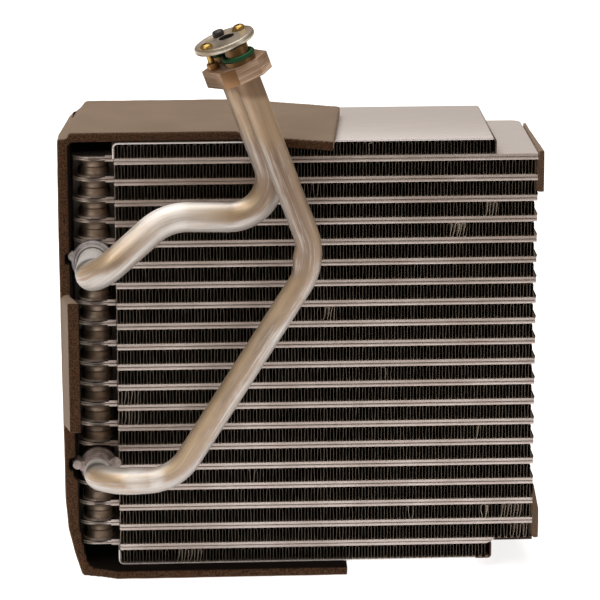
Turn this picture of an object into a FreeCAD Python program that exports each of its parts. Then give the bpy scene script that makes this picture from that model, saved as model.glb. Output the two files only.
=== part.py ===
import FreeCAD, Part
import math
import os
import re
import Sketcher

# Evaporator core of a vehicle air conditioner: twenty brazed plate tubes with folded fins between them,
# two header columns on the left, two bent line pipes up to a joint block, and a foam wrap.
# X runs along the fins from their middle, Y from the front face to the back, Z up from the foam's foot.

doc = FreeCAD.newDocument("EvaporatorCore")
sheet = doc.addObject("Spreadsheet::Sheet", "Sizes")

driving_sizes = [
    ("core_depth", 85.0),
    ("tube_pitch", 11.0),
    ("tube_band", 3.1),
    ("core_end", 109.6),
    ("corner_cut", 5.0),
    ("neck_gap", 0.3),
    ("tank_width", 21.6),
    ("tank_recess", 8.5),
    ("tank_cut", 8.5),
    ("cup_shift", 0.3),
    ("cup_width", 17.0),
    ("cup_edge", 1.0),
    ("cup_gap", 6.0),
    ("cup_corner", 4.5),
    ("thin_edge", 0.8),
    ("ramp_gap", 0.2),
    ("ramp_run", 2.9),
    ("end_row_height", 7.35),
    ("plate_sheet", 1.0),
    ("plate_left", 110.5),
    ("plate_right", 88.0),
    ("plate_round", 1.5),
    ("fin_sheet", 0.4),
    ("fin_inset", 0.1),
    ("foam_sheet", 5.2),
    ("foam_gap", 0.3),
    ("foam_slack", 1.4),
    ("foam_side_sheet", 6.0),
    ("foam_reach", 142.2),
    ("foam_top_front", 28.4),
    ("foam_shift", 8.0),
    ("knee_drop", 16.64),
    ("notch_gap", 1.6),
    ("tab_reach", 15.0),
    ("tab_drop", 16.25),
    ("tab_rise", 24.46),
    ("pad_sheet", 3.0),
    ("upper_pad_drop", 7.1),
    ("upper_pad_length", 21.8),
    ("lower_pad_rise", 0.8),
    ("lower_pad_length", 29.7),
    ("pipe_gap", 0.3),
    ("suction_radius", 7.7),
    ("suction_lift", 0.75),
    ("suction_reach", 36.5),
    ("suction_turn_across", -3.3),
    ("suction_turn_up", -5.45),
    ("suction_rise_across", 38.2),
    ("suction_rise_up", 29.55),
    ("suction_rise_reach", 26.5),
    ("suction_top_length", 83.2),
    ("suction_first_bend", 15.1),
    ("suction_middle_bend", 28.6),
    ("suction_last_bend", 20.5),
    ("liquid_radius", 6.6),
    ("liquid_lift", -0.46),
    ("liquid_reach", 37.5),
    ("liquid_turn_across", -2.1),
    ("liquid_turn_up", 1.66),
    ("liquid_rise_across", 39.8),
    ("liquid_rise_up", 3.76),
    ("liquid_top_length", 103.4),
    ("liquid_first_bend", 21.1),
    ("liquid_middle_bend", 26.9),
    ("liquid_last_bend", 31.0),
    ("port_inset", 1.2),
    ("nozzle_length", 2.0),
    ("stub_length", 4.0),
    ("stub_bend", 20.0),
    ("collar_reach", 4.5),
    ("collar_wall", 3.3),
    ("collar_edge", 0.8),
    ("ear_radius", 2.5),
    ("ear_spread", 9.9),
    ("ear_shift", 2.3),
    ("ear_rise", 2.7),
    ("ear_length", 1.5),
    ("block_across", 77.84),
    ("block_reach", 46.51),
    ("block_rise", 41.15),
    ("block_tilt", 19.9),
    ("block_lean", 5.0),
    ("block_turn", 17.8),
    ("block_thick", 8.9),
    ("block_ear", 17.2),
    ("block_nose", 8.0),
    ("block_side", 13.9),
    ("block_heel", 9.6),
    ("port_spacing", 20.25),
    ("socket_depth", 5.0),
    ("shoulder_radius", 8.0),
    ("shoulder_height", 2.4),
    ("spigot_radius", 5.9),
    ("spigot_height", 8.4),
    ("port_bore", 4.4),
    ("ring_cord", 2.4),
    ("cover_radius", 15.8),
    ("cover_sheet", 3.2),
    ("cover_edge", 0.7),
    ("cover_across", -1.0),
    ("cover_along", 11.0),
    ("cover_hole", 4.2),
    ("cover_hole_across", 2.2),
    ("cover_hole_along", 1.5),
    ("screw_radius", 1.6),
    ("ear_screw_across", -11.6),
    ("ear_screw_along", 9.0),
    ("side_screw_across", 9.6),
    ("side_screw_along", 15.8),
    ("screw_hole_depth", 3.5),
    ("screw_head_radius", 3.5),
    ("screw_head_height", 2.3),
    ("spacer_radius", 3.1),
    ("spacer_height", 3.0),
    ("plug_radius", 3.0),
    ("plug_height", 2.4),
    ("plug_stem", 1.8),
]
for row, (alias, value) in enumerate(driving_sizes, 1):
    sheet.set("A%d" % row, alias)
    sheet.set("B%d" % row, str(value))
    sheet.setAlias("B%d" % row, alias)
doc.recompute()

tube_count = 20
fold_count = 48


def bind(text):
    """An expression on the sheet from plain words such as tube_pitch / 2."""
    return re.sub(r"[a-z][a-z_]+", lambda word: "Sizes." + word.group(0), str(text))


def value_of(text):
    """The present value of such an expression."""
    return float(sheet.evalExpression(bind(text)))


def new_body(label, position=()):
    body = doc.addObject("PartDesign::Body", label)
    body.Label = label
    for axis, place in zip("xyz", position):
        body.setExpression("Placement.Base." + axis, bind(place))
    return body


def new_sketch(body, name, plane, offset="0"):
    sketch = body.newObject("Sketcher::SketchObject", name)
    support = [item for item in body.Origin.OriginFeatures if item.Role == plane][0]
    sketch.AttachmentSupport = [(support, "")]
    sketch.MapMode = "FlatFace"
    sketch.setExpression("AttachmentOffset.Base.z", bind(offset))
    return sketch


def pin_point(sketch, geometry, corner, place):
    """Tie one end of a line, or the middle of a circle, to its two distances from the origin."""
    for kind, text in zip(("DistanceX", "DistanceY"), place):
        distance = Sketcher.Constraint(kind, -1, 1, geometry, corner, value_of(text))
        index = sketch.addConstraint(distance)
        sketch.setExpression("Constraints[%d]" % index, bind(text))


def add_outline(sketch, corners):
    """A closed outline of straight lines through the given corners."""
    points = [FreeCAD.Vector(value_of(x), value_of(y), 0) for x, y in corners]
    first = sketch.GeometryCount
    count = len(points)
    for i in range(count):
        sketch.addGeometry(Part.LineSegment(points[i], points[(i + 1) % count]), False)
    for i in range(count):
        meeting = Sketcher.Constraint("Coincident", first + i, 2, first + (i + 1) % count, 1)
        sketch.addConstraint(meeting)
    for i, corner in enumerate(corners):
        pin_point(sketch, first + i, 1, corner)


def add_circle(sketch, middle, radius):
    middle_point = FreeCAD.Vector(value_of(middle[0]), value_of(middle[1]), 0)
    circle = Part.Circle(middle_point, FreeCAD.Vector(0, 0, 1), value_of(radius))
    geometry = sketch.addGeometry(circle, False)
    pin_point(sketch, geometry, 3, middle)
    index = sketch.addConstraint(Sketcher.Constraint("Radius", geometry, value_of(radius)))
    sketch.setExpression("Constraints[%d]" % index, bind(radius))


def add_cup(sketch, middle):
    """A header cup's outline: a long slot whose ends are cut back at both corners."""
    x, y = middle
    side, inner_side = "cup_width / 2", "cup_width / 2 - cup_corner"
    end, inner_end = cup_length + " / 2", cup_length + " / 2 - cup_corner"
    add_outline(sketch, [
        ("%s - %s" % (x, side), "%s - (%s)" % (y, inner_end)), ("%s - (%s)" % (x, inner_side), "%s - %s" % (y, end)),
        ("%s + (%s)" % (x, inner_side), "%s - %s" % (y, end)), ("%s + %s" % (x, side), "%s - (%s)" % (y, inner_end)),
        ("%s + %s" % (x, side), "%s + (%s)" % (y, inner_end)), ("%s + (%s)" % (x, inner_side), "%s + %s" % (y, end)),
        ("%s - (%s)" % (x, inner_side), "%s + %s" % (y, end)), ("%s - %s" % (x, side), "%s + (%s)" % (y, inner_end))])


def add_pad(body, sketch, length, midplane=False):
    pad = body.newObject("PartDesign::Pad", sketch.Name + "Pad")
    pad.Profile = sketch
    pad.setExpression("Length", bind(length))
    pad.Midplane = midplane
    body.Tip = pad
    return pad


def add_pocket(body, sketch, length, midplane=False, reverse=False):
    pocket = body.newObject("PartDesign::Pocket", sketch.Name + "Pocket")
    pocket.Profile = sketch
    pocket.setExpression("Length", bind(length))
    pocket.Midplane = midplane
    pocket.Reversed = reverse
    body.Tip = pocket
    return pocket


def add_turning(body, sketch):
    """A full turn of an outline about the sketch's upright axis."""
    turning = body.newObject("PartDesign::Revolution", sketch.Name + "Turning")
    turning.Profile = sketch
    turning.ReferenceAxis = (sketch, ["V_Axis"])
    turning.Angle = 360.0
    body.Tip = turning
    return turning


def round_edges(body, feature, radius, chosen):
    """Round the edges of a feature that the test picks out."""
    doc.recompute()
    names = ["Edge%d" % (i + 1) for i, edge in enumerate(feature.Shape.Edges) if chosen(edge)]
    rounding = body.newObject("PartDesign::Fillet", feature.Name + "Round")
    rounding.Base = (feature, names)
    rounding.setExpression("Radius", bind(radius))
    body.Tip = rounding
    return rounding


def plain_feature(label, shape):
    feature = doc.addObject("Part::Feature", label)
    feature.Label = label
    feature.Shape = shape
    feature.Placement = FreeCAD.Placement()
    return feature


# Heights of the stack, counted up from the foam's foot.
lowest_tube = "foam_sheet + foam_gap + plate_sheet + end_row_height + tube_band / 2"
highest_tube = lowest_tube + " + %d * tube_pitch" % (tube_count - 1)
stack_top = highest_tube + " + tube_band / 2 + end_row_height + plate_sheet"
port_tubes = {"suction": 6, "liquid": 16}

# Lines across the tank, as distances left of the core's middle, and the header cups that fill it.
tank_neck = "(core_end + neck_gap)"
tank_left = "(core_end + neck_gap + tank_width)"
cup_middle = "(core_end + neck_gap + tank_width / 2 - cup_shift)"
cup_length = "(core_depth / 2 - tank_recess - cup_edge - cup_gap / 2)"
cup_centre = "((core_depth / 2 - tank_recess - cup_edge + cup_gap / 2) / 2)"
foam_right = "foam_reach - " + tank_left


def tube_height(number):
    return lowest_tube + " + %d * tube_pitch" % (tube_count - number)


def mouth_height(name):
    """Height of a pipe's mouth on the tank."""
    return tube_height(port_tubes[name]) + " + %s_lift" % name


knee_height = mouth_height("liquid") + " - knee_drop"
tab_foot = mouth_height("liquid") + " + tab_rise"
tab_top = mouth_height("suction") + " - tab_drop"


def build_tube(number):
    """One brazed pair of plates: flat band, two header cups above and two below."""
    label = "tube_%02d" % number
    body = new_body(label, ("0", "0", tube_height(number)))
    band = new_sketch(body, label + "_band", "XY_Plane")
    half_depth = "core_depth / 2"
    tank_half = "core_depth / 2 - tank_recess"
    add_outline(band, [
        ("-" + tank_neck, "-" + half_depth), ("core_end", "-" + half_depth),
        ("core_end", half_depth + " - corner_cut"), ("core_end - corner_cut", half_depth),
        ("-" + tank_neck, half_depth), ("-" + tank_neck, tank_half),
        ("tank_cut - " + tank_left, tank_half), ("-" + tank_left, tank_half + " - tank_cut"),
        ("-" + tank_left, "tank_cut + tank_recess - core_depth / 2"),
        ("tank_cut - " + tank_left, "tank_recess - core_depth / 2"),
        ("-" + tank_neck, "tank_recess - core_depth / 2")])
    add_pad(body, band, "tube_band", midplane=True)
    if number == tube_count:
        step = new_sketch(body, label + "_ramp", "XZ_Plane")
        add_outline(step, [
            ("plate_right + ramp_gap", "-tube_band"), ("core_end + corner_cut", "-tube_band"),
            ("core_end + corner_cut", "tube_band / 2 - thin_edge"),
            ("plate_right + ramp_gap + ramp_run", "tube_band / 2 - thin_edge"),
            ("plate_right + ramp_gap", "-tube_band / 2")])
        add_pocket(body, step, "2 * core_depth", midplane=True)
    cups = new_sketch(body, label + "_cups", "XY_Plane", "0" if number == tube_count else "-tube_pitch / 2")
    for side in ("-", ""):
        add_cup(cups, ("-" + cup_middle, side + cup_centre))
    add_pad(body, cups, "tube_pitch / 2" if number in (1, tube_count) else "tube_pitch")
    for name, tube in port_tubes.items():
        if number == tube:
            add_nozzle(body, label, name)
    return body


def port_across(name):
    """X of a pipe's mouth on the tank."""
    return "-" + cup_middle + (" - port_inset" if name == "suction" else "")


def add_nozzle(body, label, name):
    """The short round mouth on the tank that the pipe ends on."""
    nozzle = new_sketch(body, label + "_nozzle", "XZ_Plane", "core_depth / 2 - tank_recess")
    add_circle(nozzle, (port_across(name), name + "_lift"), name + "_radius")
    add_pad(body, nozzle, "nozzle_length")


def fold_chain(start, end, low, high, folds):
    """Corner points of a folded strip's upper face, down and up by turns."""
    step = (end - start) / folds
    return [FreeCAD.Vector(start + i * step, 0, high if i % 2 else low) for i in range(folds + 1)]


def build_fin(number):
    """One row of folded fin, from a strip bent up and down between two tubes."""
    label = "fin_%02d" % number
    depth = value_of("core_depth")
    drop = value_of("fin_sheet")
    left, right = -value_of("core_end - fin_inset"), value_of("core_end - fin_inset")
    if number in (1, tube_count + 1):
        height = value_of("end_row_height")
        left = -value_of("plate_left - plate_sheet - plate_round")
        right = value_of("plate_right - plate_sheet - plate_round")
        edge = tube_height(1) + " + tube_band / 2 + end_row_height / 2"
        if number > 1:
            edge = lowest_tube + " - tube_band / 2 - end_row_height / 2"
    else:
        height = value_of("tube_pitch - tube_band")
        edge = tube_height(number) + " + tube_pitch / 2"
    upper = fold_chain(left, right, -height / 2 + drop, height / 2, fold_count)
    lower = [point - FreeCAD.Vector(0, 0, drop) for point in upper]
    outline = upper + lower[::-1]
    strip = Part.Face(Part.makePolygon(outline + outline[:1]))
    fin = plain_feature(label, strip.extrude(FreeCAD.Vector(0, depth, 0)))
    fin.Placement = FreeCAD.Placement(FreeCAD.Vector(0, -depth / 2, value_of(edge)), FreeCAD.Rotation())
    return fin


def build_end_plate(label, height, up):
    """An outer plate with both ends folded towards the core, up or down."""
    body = new_body(label, ("0", "0", height))
    profile = new_sketch(body, label + "_profile", "XZ_Plane")
    toe = up + "end_row_height"
    skin = ("-" if up == "" else "") + "plate_sheet"
    add_outline(profile, [
        ("-plate_left", toe), ("plate_sheet - plate_left", toe), ("plate_sheet - plate_left", "0"),
        ("plate_right - plate_sheet", "0"), ("plate_right - plate_sheet", toe), ("plate_right", toe),
        ("plate_right", skin), ("-plate_left", skin)])
    tip = add_pad(body, profile, "core_depth", midplane=True)
    skin_height = value_of(height) + value_of(skin)

    def outer_fold(edge):
        across = edge.BoundBox.XLength < 0.01 and edge.BoundBox.YLength > value_of("core_depth / 2")
        return across and abs(edge.BoundBox.Center.z + value_of(height) - skin_height) < 0.01
    round_edges(body, tip, "plate_round", outer_fold)
    return body


def block_point(x, y, z):
    return block_seat.multVec(FreeCAD.Vector(x, y, z))


def axis_at_height(port, height):
    """Where the straight top of a pipe, running into its port, is at the given height."""
    return port + port_line * ((height - port.z) / port_line.z)


def build_foam_wrap():
    """One foam strip over the top, down the left side and under the foot, with a tab on its flank."""
    body = new_body("foam_wrap", ("0", "-core_depth / 2", "0"))
    top = stack_top + " + foam_gap"
    snug = "-%s - foam_gap" % tank_left
    inner = "-%s - foam_slack" % tank_left
    outer = inner + " - foam_side_sheet"
    foot_outer = inner + " - foam_sheet"
    # Corners of the strip's section at the front, a little behind it, and at the back.
    section = [
        [(inner + " + 7", top), (inner + " + 7", top), (inner + " + 11", top)],
        [(inner + " + 7", top + " + foam_sheet"), (inner + " + 7", top + " + foam_sheet"),
         (inner + " + 11", top + " + foam_sheet")],
        [(inner + " - 0.5", top + " + foam_sheet"), (inner + " + 1.3", top + " + foam_sheet"),
         (inner + " + 8.4", top + " + foam_sheet")],
        [(inner + " - 0.5", top + " + 2.1"), (inner + " + 0.6", top + " + 2.1"), (inner + " + 5.7", top + " + 1.5")],
        [(outer, top + " + 2.1"), (outer + " + 0.8", top + " + 1.4"), (outer + " + 5.9", top + " - 2.8")],
        [(outer, top + " - 15"), (outer, top + " - 15"), (outer + " - 1.2", top + " - 14")],
        [(outer, tab_top + " + 3")] * 3,
        [(foot_outer, knee_height)] * 3,
        [(foot_outer + " + 1.3", knee_height + " - 16")] * 3,
        [(foot_outer + " + 4.7", "12"), (foot_outer + " + 3.5", "12"), (foot_outer + " + 3.5", "12")],
        [(foot_outer + " + 8.2", "0")] * 3,
        [("-" + cup_middle, "0")] * 3,
        [("-" + cup_middle, "foam_sheet")] * 3,
        [(inner + " + 6.4", "foam_sheet + 1.7"), (inner + " + 3.4", "foam_sheet + 1.2"),
         (inner + " + 3.4", "foam_sheet + 1.2")],
        [(inner + " + 4.5", "17"), (snug, "13.4"), (snug, "13.4")],
        [(inner + " + 2.6", "28"), (snug, "28"), (snug, "28")],
        [(inner, knee_height + " + 80"), (snug, knee_height + " + 80"), (snug, knee_height + " + 80")],
        [(inner, top + " - 15"), (snug, top + " - 8"), (snug, top + " - 8")],
        [(inner, top), (snug, top + " - 0.5"), (inner + " + 5.4", top + " - 1.5")]]
    stations = []
    for index, station in enumerate(("0", "-core_depth / 5", "-core_depth")):
        outline = new_sketch(body, "foam_section_%d" % (index + 1), "XZ_Plane", station)
        add_outline(outline, [corner[index] for corner in section])
        stations.append(outline)
    side = body.newObject("PartDesign::AdditiveLoft", "foam_side")
    side.Profile = stations[0]
    side.Sections = stations[1:]
    side.Ruled = True
    body.Tip = side
    pipe_place = axis_at_height(block_point(0, value_of("port_spacing"), 0), value_of(top))
    hollow = []
    for angle in (110, 75, 40, 10):
        reach = value_of("suction_radius + notch_gap")
        x = pipe_place.x + reach * math.cos(math.radians(angle))
        y = pipe_place.y + reach * math.sin(math.radians(angle)) + value_of("core_depth / 2")
        hollow.append((x, y))
    slab = new_sketch(body, "foam_top", "XY_Plane", top)
    add_outline(slab, [
        (inner + " - 0.5", "0"), (foam_right + " - 55.7", "0"), (foam_right + " - 52.9", "-2.7")] + hollow + [
        (foam_right + " - 33.3", "-18.9"), (foam_right + " - 9", "-foam_top_front"), (foam_right + " - 2.1", "40"),
        (foam_right, "61.5"), (foam_right + " - 36.2", "core_depth - 7.8"), (foam_right + " - 60.4", "core_depth"),
        (inner + " + 8.4", "core_depth"), (inner + " + 1.3", "core_depth / 5")])
    add_pad(body, slab, "foam_sheet")
    foot = new_sketch(body, "foam_foot", "XY_Plane")
    add_outline(foot, [
        (foot_outer + " + 8.2", "0"), ("-" + cup_middle, "-3"), ("-plate_left", "-foam_shift"),
        (foam_right, "-foam_shift"), (foam_right + " + 0.5", "core_depth - foam_shift"),
        ("-plate_left", "core_depth - foam_shift"), (foot_outer + " + 8.2", "core_depth")])
    add_pad(body, foot, "foam_sheet")
    tab = new_sketch(body, "foam_tab", "XY_Plane", tab_foot)
    add_outline(tab, [
        (outer + " + 0.8", "1"), (outer + " + 0.8", "0"), (outer + " + 4.3", "-tab_reach"),
        (outer + " + 10.6", "-tab_reach"), (inner + " - 0.2", "0"), (inner + " - 0.2", "1")])
    add_pad(body, tab, "%s - (%s)" % (tab_top, tab_foot))
    dents = new_sketch(body, "foam_dents", "XZ_Plane")
    for name in port_tubes:
        low = mouth_height(name) + " - ear_radius - 3"
        high = mouth_height(name) + " + ear_rise + ear_radius + 1"
        add_outline(dents, [(inner + " - 2.6", low), (inner + " + 2", low), (inner + " + 2", high),
                            (inner + " - 2.6", high)])
    add_pocket(body, dents, "tank_recess + 3")
    return body


def build_side_pad(label, foot, length):
    """A strip of foam stuck to the tube ends on the right."""
    strip = doc.addObject("Part::Box", label)
    strip.Label = label
    strip.setExpression("Length", bind("pad_sheet"))
    strip.setExpression("Width", bind("core_depth"))
    strip.setExpression("Height", bind(length))
    strip.setExpression("Placement.Base.x", bind("core_end + foam_gap"))
    strip.setExpression("Placement.Base.y", bind("-core_depth / 2"))
    strip.setExpression("Placement.Base.z", bind(foot))
    return strip


def bent_bar(corners, bends, radius):
    """A round bar along straight runs with a round bend at each inner corner."""
    start = corners[0]
    pieces = []
    for before, corner, after, bend in zip(corners, corners[1:], corners[2:], bends):
        back = (before - corner).normalize()
        ahead = (after - corner).normalize()
        half_angle = back.getAngle(ahead) / 2
        setback = bend / math.tan(half_angle)
        bend_start = corner + back * setback
        centre = corner + (back + ahead).normalize() * (bend / math.sin(half_angle))
        section = Part.Face(Part.Wire(Part.makeCircle(radius, bend_start, -back)))
        pieces.append(Part.makeCylinder(radius, start.distanceToPoint(bend_start), start, -back))
        pieces.append(section.revolve(centre, back.cross(ahead), -math.degrees(math.pi - 2 * half_angle)))
        start = corner + ahead * setback
    last = corners[-1] - start
    pieces.append(Part.makeCylinder(radius, last.Length, start, last))
    return pieces[0].multiFuse(pieces[1:])


def build_pipe(name, turns, port):
    """A bent line pipe from its mouth on the tank to its socket in the joint block."""
    mouth = FreeCAD.Vector(*[value_of(place) for place in (port_across(name), mouth_front, mouth_height(name))])
    straight = mouth - FreeCAD.Vector(0, value_of("stub_length"), 0)
    corners = [mouth + FreeCAD.Vector(*[value_of(shift) for shift in turn]) for turn in turns]
    lower_end = port - port_line * value_of(name + "_top_length")
    socket_end = port + port_line * value_of("socket_depth")
    bends = [value_of("stub_bend")] + [value_of(name + "_%s_bend" % bend) for bend in ("first", "middle", "last")]
    corners = [mouth, straight] + corners + [lower_end, socket_end]
    return plain_feature(name + "_pipe", bent_bar(corners, bends, value_of(name + "_radius")))


def build_collar(name):
    """The fitting round a pipe's foot, with a small ear on each side."""
    label = name + "_collar"
    body = new_body(label, (port_across(name), "tank_recess - core_depth / 2", mouth_height(name)))
    bore = name + "_radius + pipe_gap"
    rim = bore + " + collar_wall"
    profile = new_sketch(body, label + "_ring", "XY_Plane")
    add_outline(profile, [
        (bore, "0"), (rim, "0"), (rim, "collar_edge - collar_reach"), (rim + " - collar_edge", "-collar_reach"),
        (bore, "-collar_reach")])
    add_turning(body, profile)
    ears = new_sketch(body, label + "_ears", "XZ_Plane")
    for place in ("-ear_spread", "ear_spread - ear_shift"):
        add_circle(ears, (place, "ear_rise"), "ear_radius")
    add_pad(body, ears, "ear_length")
    mouth = new_sketch(body, label + "_mouth", "XZ_Plane")
    add_circle(mouth, ("0", "0"), bore)
    add_pocket(body, mouth, "3 * collar_reach", midplane=True)
    return body


def turned_ring(outline, middle):
    """A solid turned from an outline of (radius, height) corners about an upright line."""
    corners = [FreeCAD.Vector(middle[0] + radius, middle[1], height) for radius, height in outline]
    face = Part.Face(Part.makePolygon(corners + corners[:1]))
    return face.revolve(FreeCAD.Vector(middle[0], middle[1], 0), FreeCAD.Vector(0, 0, 1), 360)


def seat_on_block(item, x="0", y="0"):
    item.Placement = block_seat.multiply(FreeCAD.Placement(FreeCAD.Vector(value_of(x), value_of(y), 0),
                                                           FreeCAD.Rotation()))


def build_block():
    """The joint block: an eared plate with two sockets below and two spigots above."""
    body = new_body("joint_block")
    plan = new_sketch(body, "block_plan", "XY_Plane")
    add_outline(plan, [
        ("-block_ear", "0.62 * port_spacing"), ("-0.78 * block_ear", "-block_nose / 2"),
        ("-0.8 * block_nose", "-block_nose"), ("0.79 * block_nose", "-block_nose"),
        ("block_side", "-0.15 * block_side"), ("0.856 * block_side", "0.45 * port_spacing"),
        ("0.856 * block_side", "port_spacing"), ("block_side / 2", "port_spacing + block_heel"),
        ("-0.625 * block_heel", "port_spacing + block_heel"),
        ("-block_heel", "port_spacing + 0.365 * block_heel"), ("-block_heel", "0.815 * port_spacing")])
    add_pad(body, plan, "block_thick")
    ports = (("liquid", "0"), ("suction", "port_spacing"))
    shoulders = new_sketch(body, "block_shoulders", "XY_Plane", "block_thick")
    spigots = new_sketch(body, "block_spigots", "XY_Plane", "block_thick")
    bores = new_sketch(body, "block_bores", "XY_Plane")
    sockets = new_sketch(body, "block_sockets", "XY_Plane")
    for name, place in ports:
        add_circle(shoulders, ("0", place), "shoulder_radius")
        add_circle(spigots, ("0", place), "spigot_radius")
        add_circle(bores, ("0", place), "port_bore")
        add_circle(sockets, ("0", place), name + "_radius + pipe_gap")
    add_pad(body, shoulders, "shoulder_height")
    add_pad(body, spigots, "spigot_height")
    add_pocket(body, bores, "block_thick + spigot_height + 1", reverse=True)
    add_pocket(body, sockets, "socket_depth", reverse=True)
    screw_holes = new_sketch(body, "block_screw_holes", "XY_Plane", "block_thick")
    for place in screw_places:
        add_circle(screw_holes, place, "screw_radius + pipe_gap")
    add_pocket(body, screw_holes, "screw_hole_depth")
    seat_on_block(body)
    return body


def build_port_rings():
    """A sealing ring on each spigot, resting on its shoulder."""
    low = value_of("block_thick + shoulder_height")
    cord = value_of("ring_cord")
    inner = value_of("spigot_radius + pipe_gap")
    outline = [(inner, low), (inner + cord, low), (inner + cord, low + cord), (inner, low + cord)]
    rings = [turned_ring(outline, (0, value_of(place))) for place in ("0", "port_spacing")]
    feature = plain_feature("port_rings", Part.Compound(rings))
    seat_on_block(feature)
    return feature


def build_cover():
    """The round plate screwed over both ports, with a hole and a rubber plug in it."""
    body = new_body("cover_disc")
    profile = new_sketch(body, "cover_profile", "XZ_Plane")
    low, high = "block_thick + spigot_height", "block_thick + spigot_height + cover_sheet"
    add_outline(profile, [
        ("0", low), ("cover_radius", low), ("cover_radius", high + " - cover_edge"),
        ("cover_radius - cover_edge", high), ("0", high)])
    add_turning(body, profile)
    holes = new_sketch(body, "cover_holes", "XY_Plane", low)
    for x, y in screw_places:
        add_circle(holes, (x + " - cover_across", y + " - cover_along"), "screw_radius + pipe_gap")
    add_circle(holes, ("cover_hole_across", "cover_hole_along"), "cover_hole")
    add_circle(holes, ("-cover_across", "port_spacing - cover_along"), "plug_stem + pipe_gap")
    add_pocket(body, holes, "cover_sheet + 1", reverse=True)
    seat_on_block(body, "cover_across", "cover_along")
    return body


def build_screws():
    """Two like screws through the cover into the block."""
    seat = value_of("block_thick + spigot_height + cover_sheet")
    foot = value_of("block_thick - screw_hole_depth") + value_of("pipe_gap")
    shank, head = value_of("screw_radius"), value_of("screw_head_radius")
    top = seat + value_of("screw_head_height")
    outline = [(0, foot), (shank, foot), (shank, seat), (head, seat), (head * 0.75, top), (0, top)]
    screws = [turned_ring(outline, (value_of(x), value_of(y))) for x, y in screw_places]
    feature = plain_feature("cover_screws", Part.Compound(screws))
    seat_on_block(feature)
    return feature


def build_spacer():
    """The round nut on the block's ear that the left screw passes through."""
    body = new_body("screw_spacer")
    profile = new_sketch(body, "spacer_profile", "XZ_Plane")
    bore = "screw_radius + pipe_gap"
    low, high = "block_thick", "block_thick + spacer_height"
    add_outline(profile, [
        (bore, low), ("spacer_radius", low), ("spacer_radius", high), (bore, high)])
    add_turning(body, profile)
    seat_on_block(body, *screw_places[0])
    return body


def build_plug():
    """The rubber plug that stands on the cover above the wide port."""
    body = new_body("port_plug")
    profile = new_sketch(body, "plug_profile", "XZ_Plane")
    low = "block_thick + spigot_height + cover_sheet"
    add_outline(profile, [
        ("0", low + " - cover_sheet - 1"), ("plug_stem", low + " - cover_sheet - 1"), ("plug_stem", low),
        ("plug_radius", low), ("plug_radius", low + " + plug_height"), ("0", low + " + plug_height")])
    add_turning(body, profile)
    seat_on_block(body, "0", "port_spacing")
    return body


mouth_front = "tank_recess - core_depth / 2 - nozzle_length"
block_seat = FreeCAD.Placement(
    FreeCAD.Vector(value_of("block_across - " + cup_middle), value_of(mouth_front + " - block_reach"),
                   value_of(stack_top + " + block_rise")),
    FreeCAD.Rotation(FreeCAD.Vector(0, 1, 0), -value_of("block_tilt")).multiply(
        FreeCAD.Rotation(FreeCAD.Vector(1, 0, 0), value_of("block_lean"))).multiply(
            FreeCAD.Rotation(FreeCAD.Vector(0, 0, 1), value_of("block_turn"))))
port_line = block_seat.Rotation.multVec(FreeCAD.Vector(0, 0, 1))
screw_places = (("ear_screw_across", "ear_screw_along"), ("side_screw_across", "side_screw_along"))

tubes = [build_tube(number) for number in range(1, tube_count + 1)]
fins = [build_fin(number) for number in range(1, tube_count + 2)]
plates = [build_end_plate("top_end_plate", stack_top + " - plate_sheet", "-"),
          build_end_plate("bottom_end_plate", "foam_sheet + foam_gap + plate_sheet", "")]
foam = [build_foam_wrap(),
        build_side_pad("upper_right_pad", stack_top + " - upper_pad_drop - upper_pad_length", "upper_pad_length"),
        build_side_pad("lower_right_pad", lowest_tube + " + lower_pad_rise", "lower_pad_length")]

# Where each pipe turns, as steps across, outward and up from its mouth.
suction_turns = [("suction_turn_across", "-suction_reach", "suction_turn_up"),
                 ("suction_rise_across", "-suction_rise_reach", "suction_rise_up")]
liquid_turns = [("liquid_turn_across", "-liquid_reach", "liquid_turn_up"),
                ("liquid_rise_across", "-liquid_reach", "liquid_rise_up")]
pipes = [build_pipe("suction", suction_turns, block_point(0, value_of("port_spacing"), 0)),
         build_pipe("liquid", liquid_turns, block_point(0, 0, 0))]
collars = [build_collar("suction"), build_collar("liquid")]
head_pieces = [build_block(), build_port_rings(), build_cover(), build_screws(), build_spacer(), build_plug()]

doc.recompute()
nodes = tubes + fins + plates + foam + pipes + collars + head_pieces
for item in doc.Objects:
    if "Invalid" in item.State or "Error" in item.State:
        raise RuntimeError("%s did not recompute" % item.Label)
for node in nodes:
    if node.Shape.isNull() or not node.Shape.isValid():
        raise RuntimeError("%s has no valid shape" % node.Label)

os.makedirs("parts", exist_ok=True)
for node in nodes:
    node.Shape.exportStep("parts/%s.step" % node.Label)
print("wrote %d nodes" % len(nodes))
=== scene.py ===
import math
import bmesh
import bpy
from mathutils import Matrix, Vector


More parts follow.
